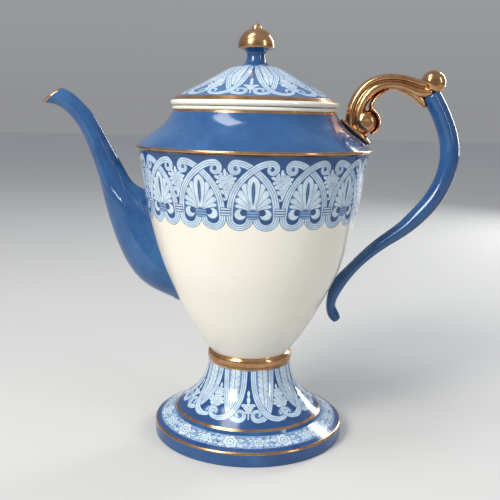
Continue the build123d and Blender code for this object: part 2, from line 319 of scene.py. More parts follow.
class Turned:
    """A closed turned piece built from bands, outside surface first, then back along the inside."""

    def __init__(self, name, around):
        self.name, self.around = name, around
        self.last = None
        self.verts, self.index = [], {}
        self.faces, self.normals, self.slots, self.tones = [], [], [], []
        self.materials = []

    def vertex(self, r, z, theta):
        x, y = r * math.sin(theta), -r * math.cos(theta)
        key = (round(x, 4), round(y, 4), round(z, 4))
        if key not in self.index:
            self.index[key] = len(self.verts)
            self.verts.append((x * MM, y * MM, z * MM))
        return self.index[key]

    def slot(self, material):
        if material not in self.materials:
            self.materials.append(material)
        return self.materials.index(material)

    def runs(self, material, *points):
        """Straight plain bands with crisp corners between them."""
        for a, b in zip(points, points[1:]):
            self.band(Profile([a, b], 50.0), material)

    def band(self, profile, material, columns=None):
        """A plain band: quads around the axis, or only in some columns."""
        slot = self.slot(material)
        rows = [profile.at(s) for s in profile.s]
        self.last = profile.points[-1]
        step = TAU / self.around
        for low, high in zip(rows, rows[1:]):
            for i in columns or range(self.around):
                a, b = i * step, (i + 1) * step
                self._face([(low, a), (low, b), (high, b), (high, a)], slot, GLAZE)

    def pierced(self, profile, material, rings):
        """A plain band with holes, whose outlines are rings of (theta, s)."""
        step = TAU / self.around
        first = math.floor(min(theta for ring in rings for theta, _ in ring) / step) - 1
        last = math.ceil(max(theta for ring in rings for theta, _ in ring) / step) + 1
        self.band(profile, material, range(last, first + self.around))
        ref = profile.at(profile.length / 2)[0]
        xs = [i * step * ref for i in range(first, last + 1)]
        loops = [[(theta * ref, s) for theta, s in ring] for ring in rings]
        loose = np.array([(x, s) for x in xs[1:-1] for s in profile.s[1:-1]])
        for loop in loops:
            gap = np.linalg.norm(loose - np.mean(loop, axis=0), axis=1)
            loose = loose[gap > 1.25 * np.linalg.norm(np.subtract(loop[0], np.mean(loop, axis=0)))]
        flat, tris, middle = triangulate([frame_of(xs, profile.s)] + loops, loose.tolist())
        for loop in loops:
            inside = within(middle, loop)
            tris, middle = tris[~inside], middle[~inside]
        rows = [profile.at(s) for _, s in flat]
        slot = self.slot(material)
        for tri in tris.tolist():
            self._face([(rows[i], flat[i][0] / ref) for i in tri], slot, GLAZE)

    def bore(self, material, wall_a, wall_b, rings_a, rings_b):
        """The inside of each hole, between its rings on two walls."""
        slot = self.slot(material)
        for ring_a, ring_b in zip(rings_a, rings_b):
            a, b = ([self.vertex(*wall.at(s)[:2], theta) for theta, s in ring]
                    for wall, ring in ((wall_a, ring_a), (wall_b, ring_b)))
            hub = [Vector(np.mean([self.verts[i] for i in ids], axis=0)) for ids in (a, b)]
            for k in range(len(a)):
                n = (k + 1) % len(a)
                self.faces.append([a[k], b[k], b[n], a[n]])
                for i, at in ((a[k], 0), (b[k], 1), (b[n], 1), (a[n], 0)):
                    self.normals.append(tuple((hub[at] - Vector(self.verts[i])).normalized()))
                self.slots.append(slot)
                self.tones.append(float(GLAZE))

    def printed(self, profile, material, drawing, repeats, rows, base, phase=0.0, narrowest=0.0, hole=None):
        """A band filled with a repeating drawing; rows is how many rows of plain points it gets."""
        slot = self.slot(material)
        grid = (self.around // repeats, rows)
        half = math.pi / repeats
        plain = cell_mesh(drawing, profile, repeats, grid, base, narrowest)
        for k in range(repeats):
            turn = TAU * k / repeats + math.radians(phase)
            points, tris, tones = plain
            rim = set()
            if hole and abs(hole[0][0] - turn) < half:
                local = [(theta - turn, s) for theta, s in hole]
                rim = {(round(theta, 6), round(s, 6)) for theta, s in local}
                points, tris, tones = cell_mesh(drawing, profile, repeats, grid, base, narrowest, local)
            ids, normals = [], []
            for theta, s in points:
                r, z, nr, nz = profile.at(s)
                sine, cosine = math.sin(theta + turn), math.cos(theta + turn)
                normals.append((nr * sine, -nr * cosine, nz))
                edge = abs(theta) > half - 1e-6 or not 1e-4 < s < profile.length - 1e-4
                if edge or (round(theta, 6), round(s, 6)) in rim:
                    ids.append(self.vertex(r, z, theta + turn))
                else:
                    ids.append(len(self.verts))
                    self.verts.append((r * sine * MM, -r * cosine * MM, z * MM))
            for tri in tris:
                self.faces.append([ids[i] for i in tri])
                self.normals += [normals[i] for i in tri]
            self.slots += [slot] * len(tris)
            self.tones += tones

    def _face(self, corners, slot, tone):
        ids, normals = [], []
        for (r, z, nr, nz), theta in corners:
            k = self.vertex(r, z, theta)
            if k in ids:
                continue
            ids.append(k)
            normals.append((nr * math.sin(theta), -nr * math.cos(theta), nz))
        if len(ids) < 3:
            return
        self.faces.append(ids)
        self.normals += normals
        self.slots.append(slot)
        self.tones.append(float(tone))

    def build(self):
        mesh = bpy.data.meshes.new(self.name)
        mesh.from_pydata(self.verts, [], self.faces)
        for material in self.materials:
            mesh.materials.append(material)
        mesh.polygons.foreach_set("material_index", self.slots)
        mesh.polygons.foreach_set("use_smooth", [True] * len(self.faces))
        tone = mesh.attributes.new("tone", "FLOAT", "FACE")
        tone.data.foreach_set("value", self.tones)
        mesh.normals_split_custom_set(self.normals)
        piece = bpy.data.objects.new(self.name, mesh)
        bpy.context.scene.collection.objects.link(piece)
        return piece


# --- The prints -------------------------------------------------------------------------------------------

STRAP_W = 3.3  # the body's straps
DRAWN_HALF_PITCH = 13.9  # the body border's shapes are drawn for this half width of a repeat
EAR_STRAP_W = 3.2


def strap(drawing, path, width, ground=MID):
    """A band of three white lines with dark edges; width is a function of 0..1 along it."""
    drawing.add(ground, ribbon(path, lambda t: width(t) + 0.55))
    drawing.add(PALE, ribbon(path, width))
    for middle in (-0.35, 0.0, 0.35):
        line = side(path, lambda t, m=middle: width(t) * m)
        drawing.add(WHITE, ribbon(line, lambda t: width(t) * 0.21))


def tapering(start, wide, narrow):
    """A width that stays wide up to start, then narrows to the path's end."""
    return lambda t: wide if t < start else wide + (narrow - wide) * ((t - start) / (1 - start)) ** 0.9


def petal(drawing, path, width, tone=WHITE, edge=MID, rim=0.5):
    """A lobe that widens along its path to a round end, with a thin dark edge."""
    def lobe(t):
        if t < 0.74:
            return 0.16 + 0.84 * math.sin(math.pi / 2 * t / 0.74) ** 1.3
        return math.sqrt(1 - ((t - 0.74) / 0.26) ** 2)
    drawing.add(edge, ribbon(path, lambda t: width * lobe(t * 0.99) + rim))
    drawing.add(tone, ribbon(path, lambda t: width * lobe(t)))


def rosette(drawing, x, y, size, petals=6, turn=0.0, heart=MID, edge=MID):
    """An open flower: round overlapping petals with dark edges, and a smaller ring inside them."""
    for reach, round_r, tone in ((0.60, 0.47, edge), (0.60, 0.39, WHITE), (0.27, 0.26, edge), (0.27, 0.19, WHITE)):
        for k in range(petals):
            a = math.radians(turn + 360 * k / petals)
            centre = x + reach * size * math.cos(a), y + reach * size * math.sin(a)
            drawing.add(tone, arc(*centre, round_r * size, 0, 330, 9))
    drawing.add(heart, arc(x, y, size * 0.13, 0, 330, 6))


def spray(drawing, x, y, turn, leaves, size, spread=62, edge=MID):
    """A small fan of leaves."""
    for tone, grow in ((edge, 0.45), (WHITE, 0.0)):
        for k in range(leaves):
            off = (k - (leaves - 1) / 2) / max(1, (leaves - 1) / 2)
            length = size * (1.0 - 0.22 * abs(off))
            drawing.add(tone, leaf(x, y, turn + spread * off, length + grow * 0.6, size * 0.34 + grow, 0.6, 7))


def bars(drawing, x, y, half_width, count, pitch, thick, ground=MID, tone=WHITE, at=0.0):
    """A clasp: level bars on a dark block, the lowest centred at y."""
    low, high = y - pitch * 0.55, y + pitch * (count - 1) + pitch * 0.55
    edge = half_width + 0.35
    drawing.add(ground, [(x - edge, low), (x + edge, low), (x + edge, high), (x - edge, high)], at)
    for k in range(count):
        m = y + pitch * k
        drawing.add(tone, [(x - half_width, m - thick / 2), (x + half_width, m - thick / 2),
                           (x + half_width, m + thick / 2), (x - half_width, m + thick / 2)], at)


def body_border():
    """Straps that loop under in scallops, rise, cross as pointed arches over a leaf fan, and curl outwards."""
    d = Drawing()
    half = math.pi / BODY_REPEATS * 65.0
    top = 60.0
    d.add(DEEP, [(-half * 1.2, 10.2), (half * 1.2, 10.2), (half * 1.2, top), (-half * 1.2, top)])
    # flower cluster between two arches
    cluster = Drawing()
    for x, y, turn, leaves, size in ((0.6, 19.0, 92, 3, 5.0), (0.8, 22.0, 75, 5, 5.6), (0.2, 26.0, 100, 5, 6.0),
                                     (1.4, 29.0, 60, 5, 5.4), (-1.4, 29.6, 130, 4, 5.0), (0.0, 31.0, 92, 3, 4.4)):
        spray(cluster, x, y, turn, leaves, size, 78, MID)
    rosette(cluster, 1.1, 24.8, 2.5, 5, 20, MID, MID)
    rosette(cluster, -0.9, 29.2, 2.5, 5, 50, MID, MID)
    rosette(cluster, 2.3, 30.6, 1.9, 5, 10, MID, MID)
    d.place(cluster, 0.0, 0.5)
    # inside the arch and inside the scallops
    arch = bow((-9.9, 8.0), (-10.3, 18.5), (-8.6, 26.5), (0.0, 33.4), 16)
    d.add(MID, arch + mirrored(arch)[1:])
    d.both(DEEP, arc(6.5, 9.3, 3.6, 0, 350, 24))
    # leaf fan
    for a, b, c, e, width in (
        ((1.7, 13.4), (3.2, 14.9), (5.6, 15.9), (9.2, 16.0), 2.1),
        ((1.5, 13.8), (2.6, 16.4), (5.4, 18.7), (9.2, 19.4), 3.1),
        ((1.2, 14.0), (1.9, 18.2), (4.2, 21.8), (8.2, 23.8), 3.7),
        ((0.9, 14.2), (1.2, 19.8), (2.5, 24.4), (5.5, 28.0), 3.7),
    ):
        lobe = bow(a, b, c, e, 12)
        petal(d, lobe, width)
        petal(d, mirrored(lobe)[::-1], width)
    d.add(MID, leaf(0, 14.0, 90, 18.6, 6.9, 0.72, 12))
    d.add(WHITE, leaf(0, 14.0, 90, 18.0, 6.2, 0.72, 12))
    d.add(DEEP, leaf(0, 16.2, 90, 13.0, 1.9, 0.62, 10))
    d.add(MID, leaf(0, 16.6, 90, 11.6, 1.0, 0.62, 8))
    # the scrolled commas each side of the fan's foot
    d.both(MID, arc(6.3, 11.4, 3.35, 0, 350, 20))
    d.both(WHITE, arc(6.3, 11.5, 2.85, 0, 350, 20))
    d.both(DEEP, arc(4.55, 12.5, 1.85, 0, 350, 16))
    bars(d, 0.0, 9.6, 2.9, 3, 1.45, 0.75, MID, PALE)
    # straps, the left one over the right one
    path = arc(-6.55, 9.3, 5.0, -4, -180, 17)
    path += bow((-11.55, 9.3), (-11.9, 19.6), (-9.6, 27.6), (-0.4, 34.7), 14)[1:]
    path += bow((-0.4, 34.7), (3.0, 37.3), (6.0, 38.45), (8.8, 38.4), 7)[1:]
    path += arc(8.8, 35.35, 3.05, 84, -250, 22, 1.15)
    width = tapering(0.64, STRAP_W, 1.1)
    eye = arc(8.9, 35.3, 3.0, 0, 345, 16)
    d.add(MID, mirrored(eye))
    strap(d, mirrored(path)[::-1], width)
    d.add(DEEP, eye)
    strap(d, path, width, DEEP)
    bars(d, 0.0, 11.2, 2.5, 3, 1.45, 0.8, DEEP, WHITE, 0.5)
    return d.stretched(half / DRAWN_HALF_PITCH)


def wheat(drawing, line, pitch, size, count):
    """Paired grains up a stem, from the line's start."""
    length = [0.0]
    for a, b in zip(line, line[1:]):
        length.append(length[-1] + math.hypot(b[0] - a[0], b[1] - a[1]))
    k = 0
    for i in range(count):
        want = pitch * i
        while k < len(line) - 2 and length[k + 1] < want:
            k += 1
        a, b = line[k], line[k + 1]
        f = (want - length[k]) / (length[k + 1] - length[k])
        x, y = a[0] + (b[0] - a[0]) * f, a[1] + (b[1] - a[1]) * f
        turn = math.degrees(math.atan2(b[1] - a[1], b[0] - a[0]))
        for tone, grow in ((MID, 0.5), (WHITE, 0.0)):
            for lean in (-1, 1):
                drawing.add(tone, leaf(x, y, turn + lean * 30, size + grow * 0.5, size * 0.5 + grow, 0.6, 8))
    drawing.add(DEEP, ribbon(line, 0.28))


def ear_border(top, low):
    """Pairs of ears of wheat between straps that cross at their feet and curl apart; low is the scrolls' foot."""
    d = Drawing()
    lift = low - 3.8
    # flower spray between two pairs
    cluster = Drawing()
    for x, y, turn, leaves, size in ((0, 12.4, 90, 5, 5.6), (-1.6, 15.4, 118, 4, 5.2), (1.6, 15.4, 62, 4, 5.2),
                                     (0, 18.6, 90, 5, 5.4), (0, 22.0, 90, 3, 4.6)):
        spray(cluster, x, y, turn, leaves, size, 64, MID)
    rosette(cluster, 0.2, 16.6, 3.0, 6, 10, MID, MID)
    d.place(cluster, lift, 0.5)
    # sprig in the middle of the pair
    sprig = Drawing()
    sprig.add(WHITE, [(-0.4, 6.2), (0.4, 6.2), (0.4, 12.0), (-0.4, 12.0)])
    for x, y, turn, leaves, size in ((0, 10.6, 90, 4, 6.4), (0, 15.0, 90, 3, 5.6), (0, 19.2, 90, 1, 4.6)):
        spray(sprig, x, y, turn, leaves, size, 92, MID)
    rosette(sprig, 0.0, 13.8, 2.7, 5, 18, MID, MID)
    d.place(sprig, lift)
    # straps: the outer one ends in the scroll near the middle, the inner one in the volute outside
    outer = spline([(13.7, top), (13.75, 25.0), (13.2, 16.0), (11.7, 9.6 + lift * 0.6), (8.9, 6.0 + lift)], 0.9)
    outer += arc(5.45, 9.1 + lift, 4.0, -42, -420, 28, 1.1)
    inner = spline([(2.5, top), (3.0, 27.0), (4.9, 18.5), (8.4, 11.9 + lift * 0.6), (13.2, 7.2 + lift),
                    (18.8, 5.3 + lift)], 0.9)
    inner += arc(21.3, 9.2 + lift, 3.5, -84, 240, 26, 1.2)
    ear = [(13.7, top), (13.7, 20.0), (12.6, 12.6), (9.6, 10.0), (6.4, 15.0), (3.6, 25.0), (2.5, top)]
    d.both(PALE, ear)
    d.both(MID, leaf(10.3, 9.6, 93, 12.0, 5.6, 0.62, 8))
    ears = Drawing()
    wheat(ears, bow((10.0, 12.4), (9.6, 17.0), (8.3, 24.0), (7.9, top + 6), 20), 3.0, 5.2, 10)
    for tone, outline, _ in ears.shapes:
        d.both(tone, outline)
    d.both(MID, arc(5.4, 9.0 + lift, 3.6, 0, 345, 16))
    d.both(MID, arc(21.3, 9.2 + lift, 3.6, 0, 345, 16))
    for flip in (False, True):
        for line, start, ground in ((outer, 0.52, MID), (inner, 0.56, DEEP)):
            line = mirrored(line)[::-1] if flip else line
            strap(d, line, tapering(start, EAR_STRAP_W, 1.15), ground)
    return d


def rose_border(width):
    """A strip of open roses, large and small by turns, on a stippled pale ground."""
    d = Drawing()
    low, high = 2.9, width - 0.25
    middle = (low + high) / 2
    reach = math.pi / ROSE_REPEATS * 52.0
    wave = [(-reach * 1.1 + reach * 2.2 * i / 60, low - 0.3 * math.sin(i * 2.1)) for i in range(61)]
    d.add(PALE, wave + [(reach * 1.1, high), (-reach * 1.1, high)])
    rng = random.Random(5)
    for k in range(80):
        x, y = (rng.random() * 2 - 1) * reach, low + 0.9 + rng.random() * (high - low - 1.8)
        tone = MID if k % 4 == 0 else WHITE
        d.add(tone, leaf(x, y, rng.random() * 360, 1.2 + rng.random() * 1.2, 0.8, 0.5, 4))
    for x, size, petals in ((-reach / 2, 4.6, 6), (reach / 2, 3.5, 5)):
        for a in (10, 170, 205, 335):
            d.add(MID, leaf(x, middle, a, size * 1.95, 3.1, 0.6, 7))
            d.add(WHITE, leaf(x, middle, a, size * 1.85, 2.5, 0.6, 7))
            d.add(MID, leaf(x, middle, a, size * 1.6, 0.4, 0.5, 5))
        rosette(d, x, middle, size, petals, 12)
    return d


# --- Materials --------------------------------------------------------------------------------------------


class Look:
    """A node material on one Principled shader."""

    def __init__(self, name):
        self.material = bpy.data.materials.new(name)
        self.material.use_nodes = True
        self.tree = self.material.node_tree
        self.shader = self.tree.nodes["Principled BSDF"]
        self.coords = self.node("ShaderNodeTexCoord").outputs["Object"]

    def node(self, kind, **values):
        made = self.tree.nodes.new(kind)
        for key, value in values.items():
            setattr(made, key, value)
        return made

    def link(self, a, b):
        self.tree.links.new(a, b)

    def fixed(self, **values):
        for key, value in values.items():
            self.shader.inputs[key.replace("_", " ")].default_value = value

    def noise(self, scale, detail=3.0, roughness=0.5, distortion=0.0):
        n = self.node("ShaderNodeTexNoise")
        n.inputs["Scale"].default_value = scale
        n.inputs["Detail"].default_value = detail
        n.inputs["Roughness"].default_value = roughness
        n.inputs["Distortion"].default_value = distortion
        self.link(self.coords, n.inputs["Vector"])
        return n.outputs["Fac"]

    def ramp(self, fac, stops, mode="LINEAR"):
        r = self.node("ShaderNodeValToRGB")
        r.color_ramp.interpolation = mode
        elements = r.color_ramp.elements
        while len(elements) < len(stops):
            elements.new(0.5)
        for element, (place, color) in zip(elements, stops):
            element.position = place
            element.color = (*color, 1.0)
        self.link(fac, r.inputs["Fac"])
        return r.outputs["Color"]

    def mix(self, fac, a, b, mode="MIX"):
        m = self.node("ShaderNodeMix", data_type="RGBA", blend_type=mode)
        if hasattr(fac, "is_linked"):
            self.link(fac, m.inputs["Factor"])
        else:
            m.inputs["Factor"].default_value = fac
        for value, socket in ((a, m.inputs[6]), (b, m.inputs[7])):
            if hasattr(value, "is_linked"):
                self.link(value, socket)
            else:
                socket.default_value = (*value, 1.0)
        return m.outputs[2]

    def span(self, fac, low, high, out_low=0.0, out_high=1.0):
        m = self.node("ShaderNodeMapRange")
        for key, value in (("From Min", low), ("From Max", high), ("To Min", out_low), ("To Max", out_high)):
            m.inputs[key].default_value = value
        self.link(fac, m.inputs["Value"])
        return m.outputs["Result"]

    def bump(self, height, distance, strength=1.0):
        b = self.node("ShaderNodeBump")
        b.inputs["Distance"].default_value = distance
        b.inputs["Strength"].default_value = strength
        self.link(height, b.inputs["Height"])
        self.link(b.outputs["Normal"], self.shader.inputs["Normal"])


CREAM = (0.80, 0.775, 0.69)
CREAM_WARM = (0.77, 0.72, 0.61)
TONE_COLORS = {
    GLAZE: (0.80, 0.775, 0.69),
    WHITE: (0.50, 0.61, 0.70),
    PALE: (0.19, 0.31, 0.49),
    MID: (0.058, 0.135, 0.30),
    DEEP: (0.017, 0.062, 0.185),
}


def glaze_surface(look, rough=0.13):
    """The surface all the glazes share: glossy, with the faint unevenness of a dipped glaze."""
    look.fixed(IOR=1.52, Specular_IOR_Level=0.5)
    uneven = look.span(look.noise(95.0, 2.0), 0.3, 0.7, rough - 0.035, rough + 0.045)
    look.link(uneven, look.shader.inputs["Roughness"])
    look.bump(look.noise(46.0, 1.5, 0.4), 0.00022, 0.55)


def make_printed_glaze():
    look = Look("printed_glaze")
    tone = look.node("ShaderNodeAttribute", attribute_name="tone").outputs["Fac"]
    place = look.span(tone, -0.5, 4.5)
    stops = [(i / 5 + 0.001 if i else 0.0, TONE_COLORS[i]) for i in range(5)]
    ink = look.ramp(place, stops, "CONSTANT")
    wash = look.span(look.noise(210.0, 4.0, 0.6), 0.32, 0.68, 0.82, 1.14)
    bleed = look.node("ShaderNodeVectorMath", operation="SCALE")
    look.link(ink, bleed.inputs[0])
    look.link(wash, bleed.inputs["Scale"])
    printed = look.span(tone, 0.4, 0.6)
    color = look.mix(printed, cream_color(look), bleed.outputs["Vector"])
    look.link(color, look.shader.inputs["Base Color"])
    glaze_surface(look)
    return look.material


def cream_color(look):
    return look.mix(look.span(look.noise(14.0, 2.0), 0.35, 0.65), CREAM, CREAM_WARM)


def make_cream_glaze():
    look = Look("cream_glaze")
    specks = look.span(look.noise(900.0, 1.0), 0.70, 0.76, 0.0, 0.35)
    look.link(look.mix(specks, cream_color(look), (0.42, 0.35, 0.25)), look.shader.inputs["Base Color"])
    glaze_surface(look)
    return look.material


def make_cobalt_glaze():
    look = Look("cobalt_glaze")
    pooled = look.ramp(look.noise(30.0, 4.0, 0.6, 0.4), [
        (0.25, (0.009, 0.044, 0.140)), (0.5, (0.017, 0.076, 0.205)), (0.78, (0.033, 0.120, 0.288)),
    ])
    fine = look.span(look.noise(420.0, 2.0), 0.3, 0.7, 0.0, 0.16)
    look.link(look.mix(fine, pooled, (0.05, 0.13, 0.36)), look.shader.inputs["Base Color"])
    glaze_surface(look, 0.12)
    return look.material


def make_gilt():
    look = Look("gilt_lustre")
    # Painted dark reflection: the gilt's colour is kept dark and coppery throughout, standing in for the dark
    # surroundings that the lustre mirrors; the noise makes it patchy at random, like wear.
    wear_and_dark_reflection = look.ramp(look.noise(120.0, 4.0, 0.65), [
        (0.28, (0.38, 0.19, 0.085)), (0.5, (0.52, 0.285, 0.135)), (0.75, (0.68, 0.41, 0.215)),
    ])
    look.link(wear_and_dark_reflection, look.shader.inputs["Base Color"])
    look.fixed(Metallic=1.0)
    look.link(look.span(look.noise(160.0, 3.0), 0.3, 0.7, 0.13, 0.27), look.shader.inputs["Roughness"])
    look.bump(look.noise(85.0, 2.0), 0.0002, 0.5)
    return look.material


def make_biscuit():
    look = Look("bare_foot_ring")
    look.link(look.mix(look.span(look.noise(260.0, 4.0), 0.4, 0.62), (0.74, 0.71, 0.65), (0.60, 0.55, 0.47)),
              look.shader.inputs["Base Color"])
    look.link(look.span(look.noise(300.0, 3.0), 0.3, 0.7, 0.62, 0.8), look.shader.inputs["Roughness"])
    look.bump(look.noise(700.0, 3.0), 0.0002, 0.5)
    return look.material


printed_glaze = make_printed_glaze()
cream_glaze = make_cream_glaze()
cobalt_glaze = make_cobalt_glaze()
gilt = make_gilt()
biscuit = make_biscuit()


# --- Sizes, in mm, the CAD's own ---------------------------------------------------------------------------
WALL = 3.2
BODY_REPEATS = 14
EAR_REPEATS = 5
ROSE_REPEATS = 10
EAR_FIT_R = 25.0  # the ears just fill the repeat at this radius, and shrink where it is less
LID_PHASE = -4.0
ROSE_PHASE = -2.0

VESSEL_SIDE = [(22.8, 50.4), (31.3, 61.8), (39.3, 75.0), (46.4, 89.0), (52.7, 103.0), (58.0, 120.3),
               (62.2, 138.6), (65.2, 156.6), (67.4, 172.8)]
SHOULDER_SIDE = [(69.2, 174.9), (63.4, 179.4), (56.8, 184.2), (51.3, 189.4), (47.5, 195.6)]
FOOT_SKIRT = [(43.8, 16.4), (39.5, 19.8), (35.0, 23.8), (31.0, 28.5), (28.3, 33.0), (26.6, 37.5), (25.0, 44.8)]
LID_CONE = [(46.0, 203.2), (39.2, 206.9), (29.8, 211.9), (20.4, 217.0), (14.6, 219.9), (8.8, 221.4)]
PRINT_LOW_Z = 131.4
HOLES_LOW_Z, HOLES_HIGH_Z = 90.0, 130.0
STRAINER_HOLE_R, STRAINER_PITCH = 2.0, 8.0
STRAINER_ROWS = [(95, 3), (102, 2), (109, 3), (116, 2), (123, 3)]  # height, count
VENT_R, VENT_AT = 1.1, (0.0, 24.0)
RING_SIDES = 20
NECK_BORE_R = 44.0
FLANGE_R, FLANGE_WALL, FLANGE_LOW_Z = 43.0, 2.8, 188.0


def inset(outline, depth):
    moved = []
    for i, (r, z) in enumerate(outline):
        before, after = outline[max(i - 1, 0)], outline[min(i + 1, len(outline) - 1)]
        run, rise = after[0] - before[0], after[1] - before[1]
        length = math.hypot(run, rise)
        moved.append((r - depth * rise / length, z + depth * run / length))
    return moved


def cut(points, z_low, z_high):
    """The part of a rising polyline between two heights, ends included."""
    out = []
    for a, b in zip(points, points[1:]):
        lo, hi = max(a[1], z_low), min(b[1], z_high)
        if hi - lo < 1e-6:
            continue
        for z in (lo, hi):
            f = (z - a[1]) / (b[1] - a[1])
            p = (a[0] + f * (b[0] - a[0]), z)
            if not out or p[1] - out[-1][1] > 1e-6:
                out.append(p)
    return out


def length_at(profile, key, value):
    """Where along the profile its radius (key 0) or height (key 1) is value."""
    known, lengths = [p[key] for p in profile.points], profile.s
    if known[0] > known[-1]:
        known, lengths = known[::-1], lengths[::-1]
    return float(np.interp(value, known, lengths))


def strainer_rings(profile):
    """The outlines, on one wall, of the level holes behind the spout."""
    rings = []
    for row_z, count in STRAINER_ROWS:
        for k in range(count):
            ring = []
            for y, z in arc((k - (count - 1) / 2) * STRAINER_PITCH, row_z, STRAINER_HOLE_R, 0, 360, RING_SIDES)[:-1]:
                s = length_at(profile, 1, z)
                ring.append((-math.acos(-y / profile.at(s)[0]), s))
            rings.append(ring)
    return rings


def vent_ring(profile):
    """The outline, on one side of the lid, of its upright vent."""
    circle = arc(*VENT_AT, VENT_R, 0, 360, RING_SIDES)[:-1]
    return [(math.atan2(x, -y) % TAU, length_at(profile, 0, math.hypot(x, y))) for x, y in circle]


def finish_piece(piece, body, slot, *nodes):
    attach(piece, body)
    for node in nodes:
        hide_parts(node)
    return piece


def turned_foot():
    t = Turned("foot_pedestal_skin", 180)
    t.runs(biscuit, (53.3, 0.0), (57.0, 0.0))
    t.band(Profile(arc(57.0, 0.8, 0.8, -90, 0, 6), None), cobalt_glaze)
    t.runs(cobalt_glaze, (57.8, 0.8), (57.7, 7.2))
    t.band(Profile(arc(56.4, 7.2, 1.3, 0, 72, 8), None), gilt)
    edge = t.last
    rose = Profile([edge, (45.7, 13.45)], 1.0)
    t.printed(rose, printed_glaze, rose_border(rose.length), ROSE_REPEATS, 7, DEEP, ROSE_PHASE)
    t.runs(cobalt_glaze, (45.7, 13.45), (45.0, 15.3))
    t.runs(gilt, (45.0, 15.3), (43.8, 16.4))
    skirt = Profile(FOOT_SKIRT, 1.0)
    t.printed(skirt, printed_glaze, ear_border(skirt.length - 0.3, 3.8), EAR_REPEATS, 16, DEEP)
    stub_r, stub_z = 19.0, 50.4
    t.runs(cream_glaze, (25.0, 44.8), (stub_r, 44.8), (stub_r, stub_z), (0.0, stub_z))
    inner = inset(FOOT_SKIRT, WALL)
    t.runs(cream_glaze, (0.0, inner[-2][1]), inner[-2])
    t.band(Profile(inner[-2::-1], 1.5), cream_glaze)
    t.runs(cream_glaze, inner[0], (51.8, 6.4), (53.3, 0.0))
    return t.build()


def turned_vessel():
    t = Turned("vessel_body_skin", 168)
    outside = spline(VESSEL_SIDE, 2.0)
    inside = spline(inset(VESSEL_SIDE, WALL)[1:], 3.0)
    inside = [p for p in inside if p[1] < 171.5] + [(inside[-1][0], 172.8)]
    t.runs(cream_glaze, (0.0, 50.4), (22.8, 50.4))
    t.band(Profile(cut(outside, 50.4, HOLES_LOW_Z), None), cream_glaze)
    outer_wall = Profile(cut(outside, HOLES_LOW_Z, HOLES_HIGH_Z), None)
    inner_wall = Profile(cut(inside, HOLES_LOW_Z, HOLES_HIGH_Z)[::-1], None)
    outer_rings, inner_rings = strainer_rings(outer_wall), strainer_rings(inner_wall)
    t.pierced(outer_wall, cream_glaze, outer_rings)
    t.band(Profile(cut(outside, HOLES_HIGH_Z, PRINT_LOW_Z), None), cream_glaze)
    zone = Profile(cut(outside, PRINT_LOW_Z, 172.8), None)
    t.printed(zone, printed_glaze, body_border(), BODY_REPEATS, 18, GLAZE)
    t.runs(cream_glaze, (67.4, 172.8), inside[-1])
    t.band(Profile(cut(inside, HOLES_HIGH_Z, 172.8)[::-1], None), cream_glaze)
    t.pierced(inner_wall, cream_glaze, inner_rings)
    t.bore(cream_glaze, outer_wall, inner_wall, outer_rings, inner_rings)
    low = cut(inside, inside[0][1], HOLES_LOW_Z)[::-1]
    t.band(Profile(low, None), cream_glaze)
    r, z = low[-1]
    t.band(Profile([(r, z), (r - 2.5, z - 2.4), (r - 7.0, 55.2), (r - 10, 55.0)], 1.2), cream_glaze)
    t.runs(cream_glaze, (r - 10, 55.0), (0.0, 55.0))
    return t.build()


def turned_shoulder():
    t = Turned("shoulder_neck_skin", 168)
    bead = arc(68.2, 174.3, 1.0, -40, 62, 8)
    t.runs(gilt, (67.4, 172.8), bead[0])
    t.band(Profile(bead, None), gilt)
    start = t.last
    slope = spline([start] + SHOULDER_SIDE[1:], 1.0)
    gilt_from = 194.3
    t.band(Profile(cut(slope, start[1], gilt_from), None), cobalt_glaze)
    t.band(Profile(cut(slope, gilt_from, 195.6), None), gilt)
    t.runs(cream_glaze, SHOULDER_SIDE[-1], (NECK_BORE_R, 195.6))
    inner = inset(SHOULDER_SIDE, WALL)
    inner[0], inner[-1] = (67.4 - WALL, 172.8), (NECK_BORE_R, 195.6)
    t.band(Profile(inner[::-1], 1.5), cream_glaze)
    t.runs(cream_glaze, inner[0], (67.4, 172.8))
    return t.build()


def turned_rim():
    t = Turned("neck_rim_skin", 168)
    t.runs(cream_glaze, (NECK_BORE_R, 195.6), (47.25, 195.6))
    t.band(Profile(arc(47.25, 196.65, 1.05, -90, 90, 12), None), cream_glaze)
    t.runs(cream_glaze, (47.25, 197.7), (44.6, 197.7))
    t.band(Profile(arc(44.6, 197.1, 0.6, 90, 180, 6), None), cream_glaze)
    t.runs(cream_glaze, (44.0, 197.1), (NECK_BORE_R, 195.6))
    return t.build()


def turned_collar():
    t = Turned("collar_ring_skin", 168)
    t.runs(gilt, (19.0, 44.8), (24.4, 44.8))
    roll = spline([(24.4, 44.8), (25.2, 46.0), (25.8, 48.4), (25.3, 50.8), (23.4, 52.6)], 0.4)
    t.band(Profile(roll, None), gilt)
    t.runs(gilt, (23.4, 52.6), (22.9, 52.6), (22.9, 50.4), (19.0, 50.4), (19.0, 44.8))
    return t.build()


